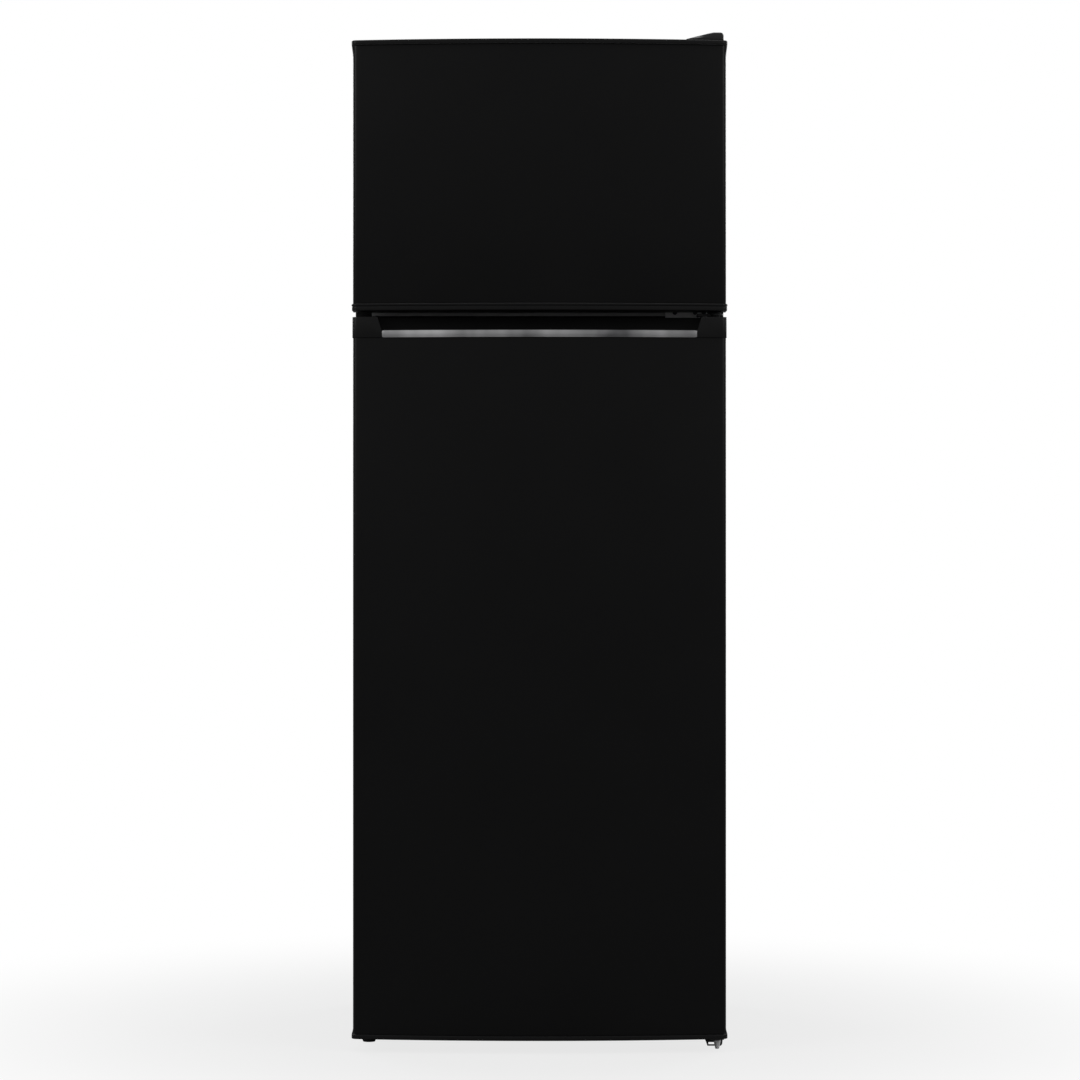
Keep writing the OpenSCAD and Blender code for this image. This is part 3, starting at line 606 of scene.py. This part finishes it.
def rounded_nodes():
    """The CAD nodes whose shape stays, each with its edges rounded as its size allows."""
    fine = ("hinge_screws", "mullion_rail", "roller_axles", "led_lamp", "foot_right",
            "compressor_grommets", "lamp_cover", "thermostat_knob", "foot_left")
    plain = ("top_hinge_bracket", "middle_hinge_bracket", "lower_hinge_bracket",
             "control_housing", "relay_cover", "drain_pan", "compressor_rail", "roller_left",
             "roller_right", "left_side_panel", "right_side_panel", "top_panel",
             "freezer_door_gasket", "fridge_door_gasket")
    glass = ("freezer_shelf", "shelf_lower", "shelf_middle", "shelf_upper", "crisper_cover")
    finish = {"mullion_rail": "strip_paint", "middle_hinge_bracket": "hinge_plate",
              "foot_right": "foot_plating"}
    for node in fine:
        refine(node, 0.0003, material=finish.get(node))
    for node in plain:
        refine(node, 0.0006, material=finish.get(node))
    for node in glass:
        refine(node, 0.0008)
    for node in ("rear_spacers", "shelf_trims"):
        refine(node, 0.001, 3)
    refine("top_hinge_cover", 0.001, 3, material="glossy_black", first=(nose_test(), 0.0038, 5))
    for node in ("freezer_liner", "fridge_liner"):
        refine(node, 0.0035, 3)
    for node in ("freezer_door_liner", "fridge_door_liner"):
        refine(node, 0.0006, first=(rim_test(node), 0.0035, 3))
    for node in BINS:
        refine(node, 0.0009)
    refine("compressor", 0.001, 2, 35.0)
    # Behind this line the plate keeps that lightened grey, which is partly painted light.
    ear_y = CAB_FRONT - 0.0032  # in front of it, the middle hinge plate is painted dark
    recolour(bpy.data.objects["middle_hinge_bracket_finished"], "dark_metal",
             lambda c: c.y < ear_y)


# ---------- details at the back ----------

COIL_Y = 0.264
COIL_Z0 = 0.3
COIL_PITCH = 0.05
COIL_RUNS = 22
COIL_TOP = COIL_Z0 + (COIL_RUNS - 1) * COIL_PITCH
COIL_HALF = 0.19
TUBE_R = 0.0026
WIRE_R = 0.0007


def condenser_coil():
    """The serpentine tube, its wires in two layers and the two straps that carry it."""
    bm = bmesh.new()
    turn_r, turn_steps = COIL_PITCH / 2, 12
    path = []
    for i in range(COIL_RUNS):
        z = COIL_Z0 + i * COIL_PITCH
        way = 1 if i % 2 == 0 else -1
        path.append((-way * COIL_HALF, COIL_Y, z))
        if i < COIL_RUNS - 1:
            for k in range(turn_steps + 1):
                a = math.pi * k / turn_steps - math.pi / 2
                path.append((way * (COIL_HALF + turn_r * math.cos(a)), COIL_Y,
                             z + turn_r * (1 + math.sin(a))))
    path.append((-COIL_HALF, COIL_Y, COIL_TOP))
    tube(bm, path, TUBE_R, 10)
    add_piece("condenser_coil", bm, "condenser", "compressor_black", ("condenser",))

    bm = bmesh.new()
    wires, wires_half, past_coil = 49, 0.18, 0.012
    for layer in (-1, 1):
        y = COIL_Y + layer * (TUBE_R + WIRE_R * 0.9)
        for i in range(wires):
            x = wires_half * (2 * i / (wires - 1) - 1)
            tube(bm, ((x, y, COIL_Z0 - past_coil), (x, y, COIL_TOP + past_coil)), WIRE_R, 6)
    add_piece("condenser_wires", bm, "condenser", "compressor_black")

    bm = bmesh.new()
    strap_x, strap_half, strap_thick, strap_past = 0.15, 0.006, 0.0012, 0.02
    strap_y = COIL_Y - 0.0055
    lugs, lug_pitch, lug_half, lug_tall, sunk = 5, 0.25, 0.005, 0.008, 0.0001
    for x in (-strap_x, strap_x):
        box_in(bm, (x - strap_half, strap_y, COIL_Z0 - strap_past),
               (x + strap_half, strap_y + strap_thick, COIL_TOP + strap_past))
        for k in range(lugs):
            z = COIL_Z0 + COIL_PITCH / 2 + k * lug_pitch
            box_in(bm, (x - lug_half, CAB_BACK, z - lug_tall),
                   (x + lug_half, strap_y + sunk, z + lug_tall))
    bevel(bm, sharp_edges(bm, 0.5), 0.0004, 2)
    add_piece("condenser_straps", bm, "condenser", "compressor_black")


def pipes():
    """Copper lines of the cooling unit, with the filter drier and the capillary.

    The routes are given: out of the compressor to the foot of the coil, from its top
    down to the drier, from the foam back to the compressor, and the sealed filling stub."""
    bm = bmesh.new()
    up_x = -0.2285
    drier_x, drier_y = 0.15, 0.215
    discharge = ((-0.126, 0.202, 0.12), (-0.165, 0.212, 0.12), (-0.215, COIL_Y, 0.19),
                 (-0.215, COIL_Y, COIL_Z0), (-COIL_HALF, COIL_Y, COIL_Z0))
    returning = ((-COIL_HALF, COIL_Y, COIL_TOP), (up_x, COIL_Y, COIL_TOP), (up_x, COIL_Y, 0.218),
                 (-0.19, 0.236, 0.21), (drier_x, drier_y, 0.21), (drier_x, drier_y, 0.17))
    suction = ((0.09, 0.15, 0.2345), (0.09, 0.15, 0.14), (0.04, 0.138, 0.13),
               (-0.024, 0.1545, 0.13))
    process = ((-0.108, 0.143, 0.115), (-0.126, 0.122, 0.115), (-0.126, 0.122, 0.155))
    for route, corner, radius in ((discharge, 0.012, TUBE_R), (returning, 0.014, TUBE_R),
                                  (suction, 0.018, 0.0032), (process, 0.01, 0.0025)):
        tube(bm, bent(route, corner), radius, 10)
    # Radius and height along the filter drier, from its upper end to its lower one
    drier = ((0.0028, 0.174), (0.0052, 0.168), (0.0088, 0.16), (0.009, 0.157), (0.009, 0.073),
             (0.0088, 0.07), (0.005, 0.062), (0.002, 0.056))
    lathe(bm, (drier_x, drier_y, 0.0), (0, 0, 1), drier)

    # The capillary leaves the drier, is wound up in a few turns and goes into the foam
    turns, coil_steps = 3, 60
    coil_x, coil_y, coil_z, coil_r, coil_rise = 0.118, 0.19, 0.062, 0.021, 0.0032
    loops = [(coil_x + coil_r * math.cos(a), coil_y + coil_r * math.sin(a),
              coil_z + coil_rise * a / (2 * math.pi))
             for a in (2 * math.pi * turns * i / coil_steps for i in range(coil_steps + 1))]
    start = ((drier_x, drier_y, 0.057), (drier_x, drier_y, 0.046), (0.139, 0.205, 0.05))
    end = ((coil_x + coil_r, coil_y, 0.09), (0.132, 0.17, 0.15), (0.132, 0.16, 0.2345))
    tube(bm, bent(start, 0.006) + loops + bent(end, 0.015), 0.0012, 6)
    add_piece("refrigerant_pipes", bm, "refrigerant_lines", "copper_tube", ("refrigerant_lines",))


def screw_heads(name, spots, axis, node, material, r=0.0042):
    """Hexagon heads on a pressed flange; spots are the points where each flange sits."""
    flange = ((r, 0.0), (r, 0.0005), (r * 0.9, 0.0009), (r * 0.66, 0.001))
    hexagon = ((r * 0.62, 0.0008), (r * 0.62, 0.0027), (r * 0.54, 0.0031))
    bm = bmesh.new()
    for spot in spots:
        lathe(bm, spot, axis, flange, 20)
        lathe(bm, spot, axis, hexagon, 6)
    add_piece(name, bm, node, material)


def rear_sheet():
    """The rear panel with a pressed bead round its rim and its screws."""
    lo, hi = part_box("rear_panel")
    bead, half, rise = 0.026, 0.006, 0.0014

    def lines(a, b):
        """Where the mesh has lines between two edges: a few across each bead."""
        steps = [0.0, bead - half, bead - half * 0.6, bead, bead + half * 0.6, bead + half]
        return [a + v for v in steps] + [b - v for v in reversed(steps)]

    def height(x, z):
        """How far the bead stands out at a point of the sheet."""
        inward = min(x - lo.x, hi.x - x, z - lo.z, hi.z - z)
        off = abs(inward - bead) / half
        return rise * max(0.0, 1 - off * off)

    bm = bmesh.new()
    xs, zs = lines(lo.x, hi.x), lines(lo.z, hi.z)
    outer = [[bm.verts.new((x, hi.y + height(x, z), z)) for x in xs] for z in zs]
    inner = [[bm.verts.new((x, lo.y, z)) for x in xs] for z in zs]
    for grid in (outer, inner):
        for low, high in zip(grid, grid[1:]):
            bridge(bm, low, high, closed=False)
    rim = [(0, i) for i in range(len(xs))] + [(j, len(xs) - 1) for j in range(1, len(zs))]
    rim += [(len(zs) - 1, i) for i in range(len(xs) - 2, -1, -1)]
    rim += [(j, 0) for j in range(len(zs) - 2, 0, -1)]
    bridge(bm, [outer[j][i] for j, i in rim], [inner[j][i] for j, i in rim])
    add_piece("rear_panel_sheet", bm, "rear_panel", "galvanised", ("rear_panel",), 50.0)

    edge, per_side, top_pitch = 0.011, 6, 0.13
    apart = (hi.z - lo.z - 2 * edge) / (per_side - 1)
    spots = [(s * (hi.x - edge), hi.y, lo.z + edge + k * apart)
             for s in (-1, 1) for k in range(per_side)]
    spots += [(x, hi.y, hi.z - edge) for x in (-top_pitch, 0.0, top_pitch)]
    screw_heads("rear_screws", spots, (0, 1, 0), "rear_panel", "zinc")


# ---------- details inside ----------

def bin_details():
    """A rolled rim and raised lines on every door bin, and on the crisper drawer."""
    bead_r, corner_r, inset = 0.0018, 0.011, 0.0011
    line_r, line_end = 0.0012, 0.04
    rib_r, rib_pitch, rib_low, rib_high, rib_lean = 0.0009, 0.14, 0.006, 0.008, 0.0002
    drawer_lip = 0.004  # how far the drawer's grip stands out in front of its face
    grip_half, grip_low, grip_high, grip_out, grip_in = 0.07, 0.0125, 0.002, 0.003, 0.001
    for node in BINS:
        lo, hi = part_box(node)
        drawer = node == "crisper_drawer"
        face_y = lo.y + drawer_lip if drawer else hi.y
        bm = bmesh.new()
        first = (lo.x + inset, (face_y if drawer else lo.y) + inset)
        rim = round_loop(first, (hi.x - inset, hi.y - inset), corner_r, hi.z - bead_r)
        tube(bm, rim, bead_r, 8, True)
        run = (hi.x - lo.x) / 2 - line_end
        for share in (0.3, 0.44, 0.58):
            z = lo.z + (hi.z - lo.z) * share
            tube(bm, ((-run, face_y, z), (run, face_y, z)), line_r, 8)
        if drawer:
            box_in(bm, (-grip_half, lo.y - grip_out, hi.z - grip_low),
                   (grip_half, lo.y + grip_in, hi.z - grip_high))
        else:
            for x in (-rib_pitch, 0.0, rib_pitch):
                tube(bm, ((x, face_y + rib_lean, lo.z + rib_low), (x, face_y, hi.z - rib_high)),
                     rib_r, 6)
        add_piece(node + "_ribs", bm, node, "clear_plastic")


def wall_ribs():
    """Shallow moulded ribs in the rear walls, over the cooling plates, and in the freezer floor."""
    rib_r, sink, ramp, corner = 0.0022, 0.002, 0.006, 0.003
    wall_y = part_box("evaporators")[0].y - 0.0015
    low, high = 0.572, 0.948
    ribs, pitch = 17, 0.021
    bm = bmesh.new()
    for i in range(ribs):
        x = pitch * (i - (ribs - 1) / 2)
        route = ((x, wall_y + sink, low), (x, wall_y, low + ramp), (x, wall_y, high - ramp),
                 (x, wall_y + sink, high))
        tube(bm, bent(route, corner, 3), rib_r, 10)
    add_piece("fridge_wall_ribs", bm, "fridge_liner", "white_liner")

    low, high = 1.138, 1.40
    ribs, half = 9, 0.185
    shelf_z, shelf_clear = 1.262, 0.012
    bm = bmesh.new()
    for i in range(ribs):
        z = low + (high - low) * i / (ribs - 1)
        if abs(z - shelf_z) > shelf_clear:
            route = ((-half, wall_y + sink, z), (ramp - half, wall_y, z), (half - ramp, wall_y, z),
                     (half, wall_y + sink, z))
            tube(bm, bent(route, corner, 3), rib_r, 10)
    floor_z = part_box("freezer_liner")[0].z + 0.0015
    floor_ribs, pitch, floor_r = 11, 0.038, 0.0018
    front, back = -0.12, 0.18
    for i in range(floor_ribs):
        x = pitch * (i - (floor_ribs - 1) / 2)
        tube(bm, ((x, front, floor_z), (x, back, floor_z)), floor_r, 8)
    add_piece("freezer_wall_ribs", bm, "freezer_liner", "white_liner")


def dial_scale():
    """Plain numbers and a widening wedge beside the thermostat knob."""
    face_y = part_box("control_housing")[0].y
    knob_lo, knob_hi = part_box("thermostat_knob")
    knob_z = (knob_lo.z + knob_hi.z) / 2
    numbers, first_x, step = 5, 0.026, 0.0115
    above, raised = 0.0015, 0.00006
    for digit in range(1, numbers + 1):
        curve = bpy.data.curves.new("dial_number_%d" % digit, "FONT")
        curve.body = str(digit)
        curve.size = 0.0075
        curve.extrude = raised
        curve.align_x = "CENTER"
        text = bpy.data.objects.new(curve.name, curve)
        bpy.context.scene.collection.objects.link(text)
        text.location = (first_x + (digit - 1) * step, face_y - raised, knob_z + above)
        text.rotation_euler = (math.radians(90), 0, 0)
        curve.materials.append(MATS["print_grey"])
        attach(text, "cabinet")
    bm = bmesh.new()
    end_x = first_x + (numbers - 1) * step
    wedge_z, wedge_half, thin, wide = knob_z - 0.0075, 0.0001, 0.0006, 0.0042
    corners = [(first_x, 0.0), (end_x, 0.0), (end_x, wide), (first_x, thin)]
    near = [bm.verts.new((x, face_y - wedge_half, wedge_z + z)) for x, z in corners]
    far = [bm.verts.new((x, face_y + wedge_half, wedge_z + z)) for x, z in corners]
    loft(bm, [near, far])
    add_piece("dial_wedge", bm, "control_housing", "print_grey")


def lens_prisms():
    """The prism lines across the underside of the lamp lens."""
    lo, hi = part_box("lamp_cover")
    bm = bmesh.new()
    count, side, end, radius = 28, 0.006, 0.004, 0.0012
    for i in range(count):
        x = lo.x + side + (hi.x - lo.x - 2 * side) * i / (count - 1)
        tube(bm, ((x, lo.y + end, lo.z), (x, hi.y - end, lo.z)), radius, 6)
    add_piece("lens_prisms", bm, "lamp_cover", "clear_plastic")


# ---------- stage, lights and camera ----------

def glowing_share(nodes, links, near, far):
    """How much plain white a camera ray sees in the floor, near the object and far off.

    The rest is the lit floor, which carries the shadow; other rays see only the lit floor."""
    fade_from, fade_to = 0.35, 1.3
    coords = nodes.new("ShaderNodeTexCoord")
    reach = nodes.new("ShaderNodeVectorMath")
    reach.operation = "LENGTH"
    links.new(coords.outputs["Object"], reach.inputs[0])
    fade = nodes.new("ShaderNodeMapRange")
    fade.interpolation_type = "SMOOTHSTEP"
    fade.inputs["From Min"].default_value = fade_from
    fade.inputs["From Max"].default_value = fade_to
    fade.inputs["To Min"].default_value = near
    fade.inputs["To Max"].default_value = far
    links.new(reach.outputs["Value"], fade.inputs["Value"])
    path = nodes.new("ShaderNodeLightPath")
    seen = nodes.new("ShaderNodeMath")
    seen.operation = "MULTIPLY"
    links.new(path.outputs["Is Camera Ray"], seen.inputs[0])
    links.new(fade.outputs["Result"], seen.inputs[1])
    return seen.outputs["Value"]


# Name, place, the point it faces, size and power in watts of each softbox
LAMPS = (
    ("key", (-3.6, -2.6, 3.0), (0, 0, 1.0), (1.8, 2.2), 60),
    ("fill", (3.6, -2.6, 3.0), (0, 0, 1.0), (1.8, 2.2), 54),
    ("top", (0.0, -0.4, 3.6), (0, 0, 0.6), (2.4, 2.0), 45),
    ("back_left", (-2.4, 2.8, 2.4), (0, 0.2, 0.8), (1.6, 2.0), 50),
    ("back_right", (2.4, 2.8, 2.4), (0, 0.2, 0.8), (1.6, 2.0), 50),
)


def studio():
    """A pale floor and a white surround, with five softboxes in front, above and behind."""
    floor_grey, white_near, white_far = 0.3, 0.78, 1.0
    surround = 0.38  # strength of the white surround as a light
    bpy.ops.mesh.primitive_plane_add(size=30, location=(0, 0, 0))
    floor = bpy.context.object
    floor.name = "floor"
    mat = bpy.data.materials.new("pale_floor")
    mat.use_nodes = True
    nodes, links = mat.node_tree.nodes, mat.node_tree.links
    bsdf = nodes["Principled BSDF"]
    bsdf.inputs["Base Color"].default_value = (floor_grey, floor_grey, floor_grey, 1)
    bsdf.inputs["Roughness"].default_value = 0.9
    glow = nodes.new("ShaderNodeEmission")
    glow.inputs["Color"].default_value = (1, 1, 1, 1)
    mix = nodes.new("ShaderNodeMixShader")
    links.new(glowing_share(nodes, links, white_near, white_far), mix.inputs["Fac"])
    links.new(bsdf.outputs["BSDF"], mix.inputs[1])
    links.new(glow.outputs["Emission"], mix.inputs[2])
    links.new(mix.outputs["Shader"], nodes["Material Output"].inputs["Surface"])
    floor.data.materials.append(mat)

    world = bpy.data.worlds.new("studio")
    bpy.context.scene.world = world
    world.use_nodes = True
    nodes, links = world.node_tree.nodes, world.node_tree.links
    ambient = nodes["Background"]
    ambient.inputs["Color"].default_value = (1, 1, 1, 1)
    ambient.inputs["Strength"].default_value = surround
    white = nodes.new("ShaderNodeBackground")
    white.inputs["Color"].default_value = (1, 1, 1, 1)
    white.inputs["Strength"].default_value = 1.0
    mix = nodes.new("ShaderNodeMixShader")
    path = nodes.new("ShaderNodeLightPath")
    links.new(path.outputs["Is Camera Ray"], mix.inputs["Fac"])
    links.new(ambient.outputs["Background"], mix.inputs[1])
    links.new(white.outputs["Background"], mix.inputs[2])
    links.new(mix.outputs["Shader"], nodes["World Output"].inputs["Surface"])

    for name, place, aim, size, watts in LAMPS:
        data = bpy.data.lights.new(name, "AREA")
        data.shape = "RECTANGLE"
        data.size, data.size_y = size
        data.energy = watts
        lamp = bpy.data.objects.new(name, data)
        bpy.context.scene.collection.objects.link(lamp)
        lamp.location = place
        lamp.rotation_euler = (Vector(aim) - Vector(place)).to_track_quat("-Z", "Y").to_euler()


def camera():
    """Level and straight in front, framed so that the doors fill the photograph's share of it."""
    distance, height, off_centre = 4.8, 0.75, 0.0007
    frame_width = 1.5811  # what the picture spans in the plane of the door edges
    sensor = 36.0
    data = bpy.data.cameras.new("camera")
    data.sensor_width = sensor
    data.lens = sensor * distance / frame_width
    cam = bpy.data.objects.new("camera", data)
    bpy.context.scene.collection.objects.link(cam)
    door_edge_y = FRIDGE_LO.y + BOW
    cam.location = (off_centre, door_edge_y - distance, height)
    cam.rotation_euler = (math.radians(90), 0, 0)
    bpy.context.scene.camera = cam
    bpy.context.scene.view_settings.view_transform = "Standard"


camera()
studio()
paint_nodes()
door_skins()
door_trims()
handle()
rounded_nodes()
condenser_coil()
pipes()
rear_sheet()
bin_details()
wall_ribs()
dial_scale()
lens_prisms()
